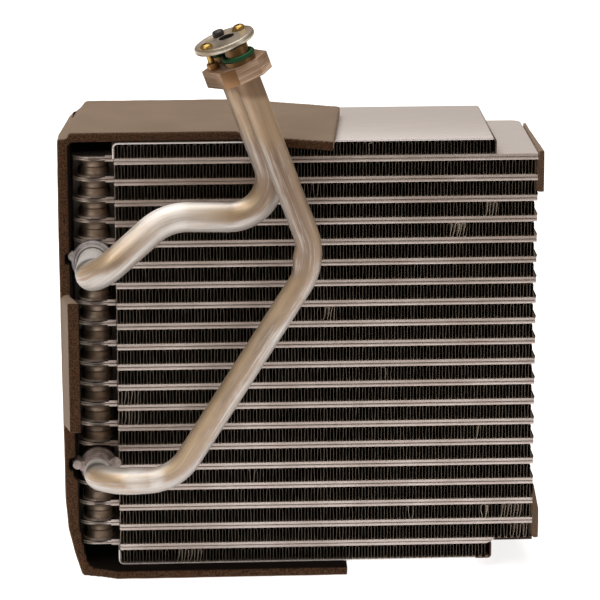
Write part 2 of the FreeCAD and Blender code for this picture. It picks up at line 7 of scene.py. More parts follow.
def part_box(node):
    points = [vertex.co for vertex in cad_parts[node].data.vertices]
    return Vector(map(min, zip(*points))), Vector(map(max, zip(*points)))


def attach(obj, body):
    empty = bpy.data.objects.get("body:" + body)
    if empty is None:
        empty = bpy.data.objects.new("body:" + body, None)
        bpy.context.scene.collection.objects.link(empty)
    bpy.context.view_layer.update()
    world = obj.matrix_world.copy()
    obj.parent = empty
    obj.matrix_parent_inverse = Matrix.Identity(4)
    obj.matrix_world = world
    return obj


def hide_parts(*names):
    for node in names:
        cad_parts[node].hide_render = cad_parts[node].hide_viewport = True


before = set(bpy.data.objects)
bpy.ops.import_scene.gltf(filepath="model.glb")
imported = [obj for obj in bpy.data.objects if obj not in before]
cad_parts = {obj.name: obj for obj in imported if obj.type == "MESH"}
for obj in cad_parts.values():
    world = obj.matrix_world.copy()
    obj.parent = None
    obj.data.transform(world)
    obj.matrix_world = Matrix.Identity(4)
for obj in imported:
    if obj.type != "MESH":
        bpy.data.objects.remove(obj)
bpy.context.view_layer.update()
mm = 0.001  # pieces are shaped in millimetres and shrunk to metres when they are done
weldReach = 0.01  # points nearer than this become one
mostly = 0.9  # a normal or an edge counts as along an axis from this share on

# where the joint block sits, how it is turned, in degrees, and how far apart its two ports are
blockPlace = {"at": (-42.56, -82.51, 275.45), "turns": (("Y", -19.9), ("X", 5.0), ("Z", 17.8)),
              "ports": 20.25}
blockSeat = Matrix.Translation(blockPlace["at"])
for axis, degrees in blockPlace["turns"]:
    blockSeat = blockSeat @ Matrix.Rotation(math.radians(degrees), 4, axis)
portSpacing = blockPlace["ports"]
# where the two pipes start, just in front of the tank
suctionMouth = (-121.6, -36.0, 170.15)
liquidMouth = (-120.4, -36.0, 58.94)


# selecting, editing and finishing a piece

def freshStart():
    if bpy.context.mode != "OBJECT":
        bpy.ops.object.mode_set(mode="OBJECT")
    bpy.ops.object.select_all(action="DESELECT")


def focus(piece):
    freshStart()
    piece.select_set(True)
    bpy.context.view_layer.objects.active = piece


def startEdit(piece):
    focus(piece)
    bpy.ops.object.mode_set(mode="EDIT")


def pick(kind, test):
    # selects by place: a vertex by its point, an edge by middle and direction, a face by middle and normal
    bpy.ops.mesh.select_mode(type=kind)
    bpy.ops.mesh.select_all(action="DESELECT")
    shape = bmesh.from_edit_mesh(bpy.context.object.data)
    if kind == "VERT":
        found = [v for v in shape.verts if test(v.co)]
    elif kind == "EDGE":
        found = [e for e in shape.edges
                 if test((e.verts[0].co + e.verts[1].co) / 2, (e.verts[1].co - e.verts[0].co).normalized())]
    else:
        found = [f for f in shape.faces if test(f.calc_center_median(), f.normal)]
    for element in found:
        element.select_set(True)
    shape.select_flush_mode()
    bmesh.update_edit_mesh(bpy.context.object.data)


def pickAll():
    bpy.ops.mesh.select_all(action="SELECT")


def push(x=0, y=0, z=0):
    bpy.ops.mesh.extrude_region_move(TRANSFORM_OT_translate={"value": (x, y, z)})


def slide(x=0, y=0, z=0):
    bpy.ops.transform.translate(value=(x, y, z))


def shrink(value, centre):
    bpy.ops.transform.resize(value=value, center_override=centre)


def settle():
    bpy.ops.object.transform_apply(location=True, rotation=True, scale=True)


def tidyShell():
    pickAll()
    bpy.ops.mesh.remove_doubles(threshold=weldReach)
    bpy.ops.mesh.normals_make_consistent(inside=False)


def modify(piece, kind, **values):
    focus(piece)
    modifier = piece.modifiers.new(kind, kind)
    for name, value in values.items():
        setattr(modifier, name, value)
    bpy.ops.object.modifier_apply(modifier=modifier.name)


def roundEdges(piece, width, angle):
    modify(piece, "BEVEL", width=width, segments=2, limit_method="ANGLE", angle_limit=math.radians(angle))


def copyOf(master, name):
    focus(master)
    bpy.ops.object.duplicate(linked=False)
    bpy.context.object.name = name
    return bpy.context.object


def joined(pieces, name):
    focus(pieces[0])
    for piece in pieces[1:]:
        piece.select_set(True)
    bpy.ops.object.join()
    bpy.context.object.name = name
    return bpy.context.object


def moved(piece, x=0, y=0, z=0):
    focus(piece)
    piece.location = (x, y, z)
    settle()
    return piece


def block(name, low, high):
    # a box between two corners, ready for editing
    freshStart()
    size = [b - a for a, b in zip(low, high)]
    middle = [(a + b) / 2 for a, b in zip(low, high)]
    bpy.ops.mesh.primitive_cube_add(size=1, location=middle, scale=size)
    bpy.context.object.name = name
    settle()
    return bpy.context.object


def chain(name, points):
    # one vertex drawn out point by point, left in edit mode
    freshStart()
    bpy.ops.mesh.primitive_plane_add(size=1)
    bpy.context.object.name = name
    bpy.ops.object.mode_set(mode="EDIT")
    pickAll()
    bpy.ops.mesh.merge(type="CENTER")
    slide(*points[0])
    for before, after in zip(points, points[1:]):
        push(*[b - a for a, b in zip(before, after)])
    return bpy.context.object


def arc(centre, radius, start, end, steps):
    # points of an arc in the XZ plane, angles in degrees from +X towards +Z
    turns = [math.radians(start + (end - start) * i / steps) for i in range(steps + 1)]
    return [(centre[0] + radius * math.cos(t), 0, centre[1] + radius * math.sin(t)) for t in turns]


def lathe(name, outline, steps):
    # turns an outline of (radius, height) about the Z axis
    piece = chain(name, [(radius, 0, height) for radius, height in outline])
    pickAll()
    bpy.ops.mesh.spin(steps=steps, angle=2 * math.pi, center=(0, 0, 0), axis=(0, 0, 1))
    tidyShell()
    freshStart()
    return piece


def cadCopy(node, name):
    # the CAD solid's own shape in millimetres, welded, with its flat faces whole again
    freshStart()
    piece = bpy.data.objects.new(name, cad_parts[node].data.copy())
    bpy.context.scene.collection.objects.link(piece)
    focus(piece)
    piece.scale = (1 / mm, 1 / mm, 1 / mm)
    settle()
    startEdit(piece)
    tidyShell()
    bpy.ops.mesh.dissolve_limited(angle_limit=math.radians(2))
    freshStart()
    return piece


def middleHeight(node):
    low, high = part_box(node)
    return (low.z + high.z) / 2 / mm


def smooth(piece, angle=35):
    focus(piece)
    bpy.ops.object.shade_smooth_by_angle(angle=math.radians(angle))


def clamp(value, low=0.0, high=1.0):
    return max(low, min(high, value))


def keep(piece, name, value, domain="POINT"):
    # stores a number on every vertex, or on every face, for a finish to read
    marks = piece.data.attributes.new(name, "FLOAT", domain)
    elements = piece.data.vertices if domain == "POINT" else piece.data.polygons
    for element, mark in zip(elements, marks.data):
        mark.value = value(element)


def finished(piece, looks, nodes):
    focus(piece)
    piece.scale = (mm, mm, mm)
    settle()
    piece.data.materials.clear()
    for look in looks:
        piece.data.materials.append(look)
    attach(piece, "root")
    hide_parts(*nodes)


# materials

class Wire:
    # one output socket; sums and products of wires add Math nodes
    def __init__(self, finish, socket):
        self.finish, self.socket = finish, socket

    def calc(self, operation, first, second):
        return self.finish.add("ShaderNodeMath", {"operation": operation}, {0: first, 1: second})

    def __add__(self, other):
        return self.calc("ADD", self, other)

    def __radd__(self, other):
        return self.calc("ADD", other, self)

    def __sub__(self, other):
        return self.calc("SUBTRACT", self, other)

    def __rsub__(self, other):
        return self.calc("SUBTRACT", other, self)

    def __mul__(self, other):
        return self.calc("MULTIPLY", self, other)

    def __rmul__(self, other):
        return self.calc("MULTIPLY", other, self)


class Finish:
    # a Principled material; constants are set on its sockets, what varies is linked
    def __init__(self, name, **constants):
        self.material = bpy.data.materials.new(name)
        self.material.use_nodes = True
        self.tree = self.material.node_tree
        self.shader = self.tree.nodes["Principled BSDF"]
        for socket, value in constants.items():
            self.shader.inputs[socket.replace("_", " ")].default_value = value

    def add(self, kind, settings=None, sockets=None, output=0):
        # any node: its settings first, then the value or link of each socket
        node = self.tree.nodes.new(kind)
        for name, value in (settings or {}).items():
            setattr(node, name, value)
        for name, value in (sockets or {}).items():
            if isinstance(value, Wire):
                self.tree.links.new(value.socket, node.inputs[name])
            else:
                node.inputs[name].default_value = value
        return Wire(self, node.outputs[output])

    def spot(self):
        return self.add("ShaderNodeTexCoord", output="Object")

    def place(self, scale=(1, 1, 1)):
        return self.add("ShaderNodeMapping", None, {"Vector": self.spot(), "Scale": scale})

    def kept(self, name):
        # a number stored on the piece by keep
        return self.add("ShaderNodeAttribute", {"attribute_name": name}, output="Fac")

    def noise(self, vector, scale, detail, rough=0.5):
        return self.add("ShaderNodeTexNoise", None,
                        {"Vector": vector, "Scale": scale, "Detail": detail, "Roughness": rough})

    def step(self, value, low, high, toLow=0.0, toHigh=1.0):
        # spreads low..high of a value over toLow..toHigh
        spread = {"Value": value, "From Min": low, "From Max": high, "To Min": toLow, "To Max": toHigh}
        return self.add("ShaderNodeMapRange", {"interpolation_type": "SMOOTHSTEP"}, spread)

    def side(self, axis, low, high):
        # 0 to 1 between two places along X, Y or Z, in millimetres
        level = self.add("ShaderNodeSeparateXYZ", None, {"Vector": self.spot()}, axis)
        return self.step(level * (1 / mm), low, high)

    def blend(self, mask, first, second):
        return self.add("ShaderNodeMix", {"data_type": "RGBA"}, {0: mask, 6: first, 7: second}, 2)

    def bump(self, height, strength, distance):
        return self.add("ShaderNodeBump", None,
                        {"Height": height, "Strength": strength, "Distance": distance})

    def feed(self, **wires):
        for socket, wire in wires.items():
            self.tree.links.new(wire.socket, self.shader.inputs[socket.replace("_", " ")])
        return self.material


def rgb(*levels):
    # a colour as the eye reads it, 0 to 255, to linear light
    linear = [((c / 255 + 0.055) / 1.055) ** 2.4 if c > 10 else c / 3294.6 for c in levels]
    return (*linear, 1)


# where a finish turns darker, in millimetres, from not at all to fully
darkerPlaces = {
    "plateRight": (88.5, 90.0), "plateFoot": (22, 20), "sheetRight": (79, 80), "sheetFoot": (20, 18),
    "pipeTan": (232, 250), "pipeBrown": (264, 268),
}


def plateMetal():
    # painted shade in the tank (deep 0.8), a painted highlight on the tank's outer edges (deep -1),
    # and dark on the last tube's strip past its ramp
    look = Finish("plateMetal", Roughness=0.46)
    deep = look.kept("deep")
    strip = look.side("X", *darkerPlaces["plateRight"]) * look.side("Z", *darkerPlaces["plateFoot"])
    fine = look.noise(look.place((1, 2, 4)), 420, 3)
    cloud = look.noise(look.place(), 36, 3)
    colour = look.blend(look.step(cloud, 0.3, 0.7), rgb(180, 167, 160), rgb(202, 191, 186))
    colour = look.blend(look.step(fine, 0.45, 0.75) * 0.4, colour, rgb(154, 138, 130))
    colour = look.blend(look.step(deep, 0.0, 0.8, 0.0, 0.8) + strip, colour, rgb(46, 36, 30))
    edge = look.step(deep, -1.0, 0.0, 1.0, 0.0)
    colour = look.blend(edge, colour, rgb(222, 208, 196))
    return look.feed(Base_Color=colour, Metallic=0.95 - 0.6 * edge, Normal=look.bump(fine, 0.1, 0.0002))


def cupMetal():
    # darker than the plates' metal, as painted shade in the tank
    look = Finish("cupMetal", Metallic=0.9, Roughness=0.5)
    cloud = look.noise(look.place((1, 1, 3)), 130, 4)
    colour = look.blend(look.step(cloud, 0.3, 0.7), rgb(150, 132, 116), rgb(172, 154, 138))
    return look.feed(Base_Color=colour, Normal=look.bump(cloud, 0.12, 0.0003))


def finFoil():
    # dark and cloudy, with bright metal where shine is 1
    look = Finish("finFoil", Metallic=0.55, Roughness=0.5)
    cloud = look.noise(look.place((1, 1, 0.3)), 300, 3)
    colour = look.blend(look.step(cloud, 0.35, 0.65), rgb(84, 75, 64), rgb(120, 109, 96))
    return look.feed(Base_Color=look.blend(look.kept("shine"), colour, rgb(206, 190, 172)))


def sheetMetal():
    # bright sheet with a grain across it, brown as painted shade on the front corner of the right bend, and
    # brown at the right end of the foot
    look = Finish("sheetMetal", Metallic=0.9, Roughness=0.5)
    grain = look.noise(look.place((1, 40, 1)), 40, 3)
    colour = look.blend(look.step(grain, 0.35, 0.7), rgb(228, 223, 222), rgb(236, 231, 230))
    foot = look.side("X", *darkerPlaces["sheetRight"]) * look.side("Z", *darkerPlaces["sheetFoot"])
    colour = look.blend(look.kept("bendShade") + foot, colour, rgb(96, 76, 64))
    return look.feed(Base_Color=colour, Normal=look.bump(grain, 0.03, 0.0002))


def foamSkin():
    # the stored mark: 0 on the skin, up to 1 on sawn edges, 2 on faces pressed to the core, which stay near
    # black as painted shade
    look = Finish("foamSkin", Specular_IOR_Level=0.1)
    cut = look.kept("cutAndShade")
    fine = look.noise(look.place(), 1300, 3)
    cloud = look.noise(look.place(), 30, 4)
    rust = look.noise(look.place(), 220, 3)
    skin = look.blend(look.step(cloud, 0.3, 0.7), rgb(128, 111, 96), rgb(134, 117, 101))
    raw = look.blend(look.step(fine, 0.35, 0.65), rgb(46, 29, 19), rgb(84, 61, 43))
    raw = look.blend(look.step(rust, 0.5, 0.8) * 0.6, raw, rgb(84, 48, 32))
    colour = look.blend(look.step(cut, 0.0, 1.0), skin, raw)
    colour = look.blend(look.step(cut, 1.1, 1.9), colour, rgb(18, 11, 8))
    return look.feed(Base_Color=colour, Roughness=look.step(cut, 0.0, 1.0, 0.65, 0.9),
                     Normal=look.bump(fine, 0.25, 0.0002))


def pipeMetal():
    # from below to the top pale, brown, tan and bright, as painted reflections and a painted highlight on
    # top, with streaks along the pipe;
    # brown where it was brazed, and a painted dark reflection on the side that looks a little left; tan
    # higher up and brown just below the block;
    # whitish painted light near the collar, painted shade in the first bend's crease, and painted highlights
    # at the glints
    look = Finish("pipeMetal")
    wrap = look.add("ShaderNodeUVMap", {"uv_map": "wrap"})
    along = look.add("ShaderNodeMapping", None, {"Vector": wrap, "Scale": (0.4, 9, 1)})
    streak = look.noise(along, 3, 6, 0.7)
    cloud = look.noise(look.place(), 60, 4, 0.6)
    flank = look.kept("flank") + (streak - 0.5) * 0.9 + (cloud - 0.5) * 0.6
    collarLight = look.kept("collarLight")
    glint = look.kept("glint") * look.step(streak, 0.3, 0.55)
    colour = look.blend(look.step(flank, -0.35, 0.0), rgb(192, 186, 181), rgb(176, 156, 140))
    colour = look.blend(look.step(flank, 0.0, 0.35), colour, rgb(200, 178, 149))
    colour = look.blend(look.step(flank, 0.6, 0.95), colour, rgb(228, 221, 213))
    colour = look.blend(look.step(streak, 0.52, 0.6) * 0.5, colour, rgb(186, 160, 130))
    colour = look.blend(look.step(streak, 0.46, 0.38) * 0.35, colour, rgb(232, 226, 220))
    burntAndReflection = look.kept("burntAndReflection") * look.step(streak, 0.38, 0.56, 0.6, 1.0)
    colour = look.blend(burntAndReflection, colour, rgb(122, 98, 78))
    colour = look.blend(look.side("Z", *darkerPlaces["pipeTan"]) * 0.75, colour, rgb(180, 155, 127))
    colour = look.blend(look.side("Z", *darkerPlaces["pipeBrown"]) * 0.7, colour, rgb(118, 94, 74))
    colour = look.blend(collarLight, colour, rgb(240, 238, 236))
    colour = look.blend(glint, colour, rgb(246, 243, 241))
    colour = look.blend(look.kept("crease"), colour, rgb(56, 56, 62))
    return look.feed(Base_Color=colour, Metallic=0.78 - 0.65 * (collarLight + glint),
                     Roughness=look.step(cloud + streak, 0.75, 1.25, 0.42, 0.6))


def castMetal(name, dark, light):
    look = Finish(name, Metallic=0.5, Roughness=0.5)
    cloud = look.noise(look.place(), 260, 5, 0.6)
    colour = look.blend(look.step(cloud, 0.35, 0.65), dark, light)
    return look.feed(Base_Color=colour, Normal=look.bump(cloud, 0.3, 0.0004))


def milledMetal():
    # fine cutter lines along the block; tone 2 is the chamfer's painted highlight, 1 the facet's painted
    # golden reflection, -1 dark brown, painted shade on the spigots
    look = Finish("milledMetal", Roughness=0.4)
    level = look.add("ShaderNodeMapping", {"vector_type": "TEXTURE"},
                     {"Vector": look.spot(), "Rotation": blockSeat.to_euler(), "Scale": (1, 1, 0.03)})
    lines = look.noise(level, 55, 3)
    cloud = look.noise(look.place(), 90, 3)
    tone = look.kept("tone")
    chamfer = look.step(tone, 1.2, 1.8)
    colour = look.blend(look.step(cloud, 0.3, 0.7), rgb(168, 137, 112), rgb(188, 159, 134))
    colour = look.blend(look.step(lines, 0.5, 0.58) * 0.7, colour, rgb(218, 196, 178))
    colour = look.blend(look.step(tone, 0.4, 0.9), colour, rgb(152, 116, 84))
    colour = look.blend(chamfer, colour, rgb(246, 240, 232))
    colour = look.blend(look.step(tone, -0.9, -0.4, 1.0, 0.0), colour, rgb(112, 86, 56))
    return look.feed(Base_Color=colour, Metallic=0.9 - 0.8 * chamfer, Normal=look.bump(lines, 0.1, 0.0002))


def plainLook(name, colour, dark, metallic, roughness, scale=200, **more):
    # a finish with a light cloudiness between two near colours
    look = Finish(name, Metallic=metallic, Roughness=roughness, **more)
    cloud = look.noise(look.place(), scale, 4)
    return look.feed(Base_Color=look.blend(look.step(cloud, 0.3, 0.7), dark, colour),
                     Normal=look.bump(cloud, 0.1, 0.0002))


print("materials")
plateFinish, cupFinish, finFinish, sheetFinish = plateMetal(), cupMetal(), finFoil(), sheetMetal()
foamFinish, pipeFinish, milledFinish = foamSkin(), pipeMetal(), milledMetal()
castFinish = castMetal("castMetal", rgb(178, 172, 172), rgb(214, 210, 211))
castStained = castMetal("castStained", rgb(126, 112, 108), rgb(168, 154, 150))
ringFinish = plainLook("greenRubber", rgb(0, 70, 34), rgb(0, 46, 20), 0, 0.5, Specular_IOR_Level=0.2)
zincFinish = plainLook("zincPlate", rgb(208, 202, 188), rgb(142, 124, 102), 0.8, 0.36, 70)
goldFinish = plainLook("yellowPlate", rgb(190, 158, 92), rgb(138, 108, 52), 0.95, 0.32)
bronzeFinish = plainLook("dullBronze", rgb(176, 134, 88), rgb(132, 98, 62), 0.85, 0.42)
plugFinish = plainLook("darkRubber", rgb(58, 48, 52), rgb(40, 34, 38), 0, 0.45)
holeFinish = plainLook("holeShade", rgb(14, 10, 10), rgb(8, 6, 6), 0, 0.9, Specular_IOR_Level=0.1)

# plate tubes

tubeSize = {
    "count": 20, "right": 109.6, "neck": 109.9, "left": 131.5, "depth": 42.5, "tankDepth": 34.0,
    "plate": 1.42, "groove": 0.13, "flangeThin": 0.6, "tabRun": 4.4, "tankRound": 8.4, "backRound": 5.0,
    "frontRound": 1.2, "lip": 0.42, "setBack": 0.3, "rampRight": 88.2, "rampRun": 2.9,
    "cupMiddle": 120.4, "cupRadius": 8.4, "cupHalf": 6.6, "cupPlace": 18.0, "cupEdge": 1.6,
    "flatShade": 0.8, "edgeHighlight": -1.0,
}
# the cup's wall from its flange to the seam with the next cup: height and share of full size
cupWall = [(0.6, 1.14), (0.95, 1.06), (1.6, 0.98), (2.5, 0.92), (3.5, 0.885), (4.6, 0.87), (5.2, 0.855),
           (5.5, 0.825)]


def flatPlate(side, right):
    # one pressed plate: the band and, past the neck, the thinner and narrower tank flange
    s = tubeSize
    near, far = side * s["groove"], side * (s["groove"] + s["plate"])
    front = -s["depth"] + (s["setBack"] if side > 0 else 0)
    piece = block("plate", (-s["neck"], front, min(near, far)), (right, s["depth"], max(near, far)))
    startEdit(piece)
    pick("FACE", lambda place, facing: facing.x < -mostly)
    push()
    shrink((1, s["tankDepth"] / s["depth"], 1), (-s["neck"], 0, 0))
    push(-s["tabRun"])
    push()
    shrink((1, 1, s["flangeThin"]), (-s["neck"], 0, 0))
    push(s["neck"] + s["tabRun"] - s["left"])
    # upright edges: the tank's two corners, the back right corner and the front corner at the neck
    for radius, segments, test in (
            (s["tankRound"], 6, lambda place: place.x < 1 - s["left"]),
            (s["backRound"], 4, lambda place: place.x > right - 1 and place.y > 0),
            (s["frontRound"], 2, lambda place: abs(place.x + s["neck"]) < 0.1 and place.y < 1 - s["depth"])):
        pick("EDGE", lambda place, way: abs(way.z) > mostly and test(place))
        bpy.ops.mesh.bevel(offset=radius, segments=segments, affect="EDGES")
    if right < s["right"]:
        # the last tube's lower plate ends in a ramp
        pick("VERT", lambda place: place.x > right - 1 and place.z < near - 0.5)
        slide(-s["rampRun"])
    roundEdges(piece, s["lip"], 40)
    return piece


def cupPair(side):
    # the two cups on one side of a plate tube, drawn up from a long slot
    s = tubeSize
    middle = (-s["cupMiddle"], 0, 0)
    freshStart()
    bpy.ops.mesh.primitive_circle_add(vertices=32, radius=s["cupRadius"], location=middle)
    settle()
    piece = bpy.context.object
    startEdit(piece)
    for way in (-1, 1):
        pick("VERT", lambda place: place.y * way > 0.01)
        slide(y=way * s["cupHalf"])
    pickAll()
    height, size = 0.0, 1.0
    for wallHeight, wallSize in cupWall:
        draw = push if height else slide
        draw(z=side * (wallHeight - height))
        shrink((wallSize / size, wallSize / size, 1), middle)
        height, size = wallHeight, wallSize
    bpy.ops.mesh.edge_face_add()
    pickAll()
    slide(y=s["cupPlace"])
    bpy.ops.mesh.duplicate_move(TRANSFORM_OT_translate={"value": (0, -2 * s["cupPlace"], 0)})
    tidyShell()
    freshStart()
    return piece


def tankShade(face):
    # past the neck, the flange's flat sides, which lie deep in shade, get painted shade, and its edges that
    # look left get a painted highlight that makes them pale
    if face.center.x / mm >= -tubeSize["neck"] - 1:
        return 0.0
    if abs(face.normal.z) > mostly:
        return tubeSize["flatShade"]
    return tubeSize["edgeHighlight"] if face.normal.x < -0.1 else 0.0


def tubeLook(face, number, height):
    # which of the tube's three finishes: plate, cup, or the first tube's top, which lies bare
    if number == 1 and face.normal.z > mostly:
        return 2
    return int(abs(face.center.z / mm - height) > tubeSize["cupEdge"])


print("plate tubes")
platePair = joined([flatPlate(1, tubeSize["right"]), flatPlate(-1, tubeSize["right"])], "platePair")
lastPair = joined([flatPlate(1, tubeSize["right"]), flatPlate(-1, tubeSize["rampRight"])], "lastPair")
upperCups, lowerCups = cupPair(1), cupPair(-1)
# tube_02 to tube_19 have cups on both sides, so their middles give the pitch
secondHeight = middleHeight("tube_02")
tubePitch = (secondHeight - middleHeight("tube_19")) / (19 - 2)
for number in range(1, tubeSize["count"] + 1):
    height = secondHeight - (number - 2) * tubePitch
    shapes = [copyOf(lastPair if number == tubeSize["count"] else platePair, "plates")]
    if number > 1:
        shapes.append(copyOf(upperCups, "cups"))
    if number < tubeSize["count"]:
        shapes.append(copyOf(lowerCups, "cups"))
    tube = moved(joined(shapes, "plateTube_%02d" % number), z=height)
    smooth(tube)
    finished(tube, [plateFinish, cupFinish, sheetFinish], ["tube_%02d" % number])
    keep(tube, "deep", tankShade, "FACE")
    for face in tube.data.polygons:
        face.material_index = tubeLook(face, number, height)
for master in (platePair, lastPair, upperCups, lowerCups):
    bpy.data.objects.remove(master)

# folded fins

finSize = {
    "rows": 21, "pitch": 1.686, "crestHalf": 0.8, "legs": 130, "endLegs": 116, "height": 7.9,
    "endHeight": 7.35, "foil": 0.16, "left": -109.4, "right": 109.5, "front": -42.45, "depth": 84.8,
    "cuts": (1.6, 4.0, 20.0), "overhang": 0.35, "jitter": 0.13, "jitterHeight": 3.4, "drift": 0.34,
    "driftScale": 3.0, "rough": 0.3,
}
# bent legs: row, X, how far they are splayed at the top, how many legs lean on each side
bentSpots = [(5, 67.8, 1.2, 3), (1, 22.3, 0.6, 1), (19, 84.3, 1.7, 1), (19, 98.0, 0.7, 4), (19, 44.3, 0.6, 1),
             (21, -72.7, 0.7, 4), (9, 0.7, 0.8, 2), (3, -6.0, 0.5, 1), (4, 85.9, 0.8, 2), (12, 30.0, 0.4, 1),
             (17, -40.0, 0.5, 1), (20, 102.0, 0.5, 3), (15, 79.5, 0.8, 1), (14, -104.0, 0.5, 3),
             (13, -103.0, 0.5, 3)]
# the steps of a bend: share of the splay, from which height up, and how deep behind the front
bendSteps = ((0.4, -1.0, 0.5), (0.35, 1.0, 0.5), (0.25, -1.0, 2.5))
# how bright the foil is on the lower crests' front and at the left end, at the right end, which is bright in
# two rows, and on bent legs, by their splay; and how far each such place reaches
finShine = {"crest": 0.6, "crestHeight": 0.7, "leftRun": 0.7, "rightRun": 1.1, "dullEnd": 0.1,
            "brightEnd": 0.9, "brightRows": (4, 5), "bent": 0.2, "bentSplay": 0.4, "bentRun": 3}


def finMaster(height, legs):
    # one fold drawn as a line, repeated along the row and drawn back through the core's depth
    s = finSize
    half, crest = s["pitch"] / 2, s["crestHalf"]
    top = height / 2 - s["foil"]
    out, down = crest * 0.7, crest * 0.25  # the shoulder on each side of a crest
    points = [(-half + crest, 0, crest - top), (0, 0, 0), (half - crest, 0, top - crest)]
    points += [(half - out, 0, top - down), (half, 0, top), (half + out, 0, top - down)]
    points += [(half + crest, 0, top - crest), (2 * half, 0, 0), (3 * half - crest, 0, crest - top)]
    points += [(3 * half - out, 0, down - top), (3 * half, 0, -top), (3 * half + out, 0, down - top)]
    points += [(3 * half + crest, 0, crest - top)]
    piece = chain("finMaster", points)
    pickAll()
    slide(s["left"] + half - crest, s["front"])
    freshStart()
    modify(piece, "ARRAY", count=legs // 2, use_relative_offset=False, use_constant_offset=True,
           constant_offset_displace=(2 * s["pitch"], 0, 0), use_merge_vertices=True,
           merge_threshold=weldReach)
    startEdit(piece)
    pickAll()
    for reach in (*s["cuts"], s["depth"] - sum(s["cuts"])):
        push(y=reach)
    # the lower crests hang over the band at the front
    pick("VERT", lambda place: place.y < s["front"] + 0.1 and place.z < crest * 0.3 - top)
    slide(z=-s["overhang"])
    freshStart()
    return piece


def markShine(piece, row):
    s, shine = finSize, finShine
    spots = [spot for spot in bentSpots if spot[0] == row]

    def bareness(vertex):
        place, value = vertex.co, 0.0
        onCrest = place.y < s["front"] + 0.1 and place.z < shine["crestHeight"] - s["height"] / 2
        if onCrest or place.x < s["left"] + shine["leftRun"]:
            value = shine["crest"]
        if place.x > s["right"] - shine["rightRun"]:
            value = shine["brightEnd"] if row in shine["brightRows"] else shine["dullEnd"]
        for _, across, splay, legs in spots:
            if abs(place.x - across) < (legs - 0.1) * s["pitch"] and place.y < s["front"] + shine["bentRun"]:
                value = min(shine["brightEnd"], shine["bent"] + shine["bentSplay"] * splay)
        return value

    keep(piece, "shine", bareness)


def bendLegs(piece, spot):
    # one leg on each side is splayed outwards, while more lean over to the right together
    _, across, splay, legs = spot
    front, pitch = finSize["front"], finSize["pitch"]
    startEdit(piece)
    for way in (-1, 1):
        lean = way if legs == 1 else 1
        for share, foot, depth in bendSteps:
            pick("VERT", lambda place: 0 <= (place.x - across) * way < pitch * (legs - 0.02)
                 and place.y < front + depth and place.z > foot)
            slide(lean * splay * share)
    pick("VERT", lambda place: abs(place.x - across) < (legs + 1.4) * pitch and place.y < front + 0.5)
    bpy.ops.transform.vertex_random(offset=finSize["rough"], uniform=0.5, seed=int(abs(across)))
    freshStart()


print("fins")
drift = bpy.data.textures.new("legDrift", "CLOUDS")
drift.noise_scale = finSize["driftScale"]
endMaster = finMaster(finSize["endHeight"], finSize["endLegs"])
rowMaster = finMaster(finSize["height"], finSize["legs"])
for row in range(1, finSize["rows"] + 1):
    node = "fin_%02d" % row
    fin = copyOf(endMaster if row in (1, finSize["rows"]) else rowMaster, "finRow_%02d" % row)
    markShine(fin, row)
    startEdit(fin)
    pick("VERT", lambda place: place.y < finSize["front"] + 0.1 and abs(place.z) < finSize["jitterHeight"])
    bpy.ops.transform.vertex_random(offset=finSize["jitter"], uniform=0.5, seed=row)
    for spot in bentSpots:
        if spot[0] == row:
            bendLegs(fin, spot)
    moved(fin, z=middleHeight(node))
    modify(fin, "DISPLACE", texture=drift, texture_coords="LOCAL", direction="X",
           strength=finSize["drift"], mid_level=0.5)
    modify(fin, "SOLIDIFY", thickness=finSize["foil"], offset=0)
    smooth(fin, 50)
    finished(fin, [finFinish], [node])
for master in (endMaster, rowMaster):
    bpy.data.objects.remove(master)

# end plates

endSize = {
    "left": -110.5, "right": 88.0, "bend": 2.4, "rightBend": 1.6, "front": -42.5, "depth": 85.0, "sheet": 0.8,
    "edgeRound": 0.15,
}


def endPlate(name, node, up):
    # a flat sheet with its two ends folded towards the core
    s = endSize
    low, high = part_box(node)
    skin, toe = (high.z, low.z) if up > 0 else (low.z, high.z)
    skin, toe = skin / mm - up * s["sheet"] / 2, toe / mm
    left, right = s["left"] + s["sheet"] / 2, s["right"] - s["sheet"] / 2
    points = [(left, 0, toe)]
    points += arc((left + s["bend"], skin - up * s["bend"]), s["bend"], 180, 180 - up * 90, 6)
    points += arc((right - s["rightBend"], skin - up * s["rightBend"]), s["rightBend"], up * 90, 0, 5)
    points += [(right, 0, toe)]
    piece = chain(name, points)
    pickAll()
    slide(y=s["front"])
    push(y=s["depth"])
    freshStart()
    modify(piece, "SOLIDIFY", thickness=s["sheet"], offset=0)
    roundEdges(piece, s["edgeRound"], 50)
    smooth(piece)
    # painted shade on the front of the right bend
    bendStart = s["right"] - s["rightBend"]
    keep(piece, "bendShade", lambda vertex: float(vertex.co.x > bendStart and vertex.co.y < s["front"] + 1))
    finished(piece, [sheetFinish], [node])


print("end plates")
endPlate("topSheet", "top_end_plate", 1)
endPlate("footSheet", "bottom_end_plate", -1)

# foam

foamSize = {
    "wrapVoxel": 1.15, "wrapWave": 0.4, "padVoxel": 0.8, "padWave": 0.3, "waveScale": 16.0,
    "sideInner": -124, "topInner": 226, "footInner": 9,  # beyond these a face can look at the core
    "hollowX": (-131.5, -110), "hollowZ": (222, 235), "hollowFront": -24,  # above the first tube's cups
    "skinCorner": (-133.4, 236.7),  # left of and above this the front is skin
    "sawnFrom": 0.45, "sawnRun": 0.2, "inwardFrom": 0.4, "inwardRise": 8,
}
# packing is foam that closes in: below each collar's ear, from its mouth's height, and above the first tube
earPacking = ((-136, -42.4, -6.5), (-133, -31.5, -0.6))
tankPacking = ((-131.6, -20.5, 223.9), (-111.0, 38, 234.6))
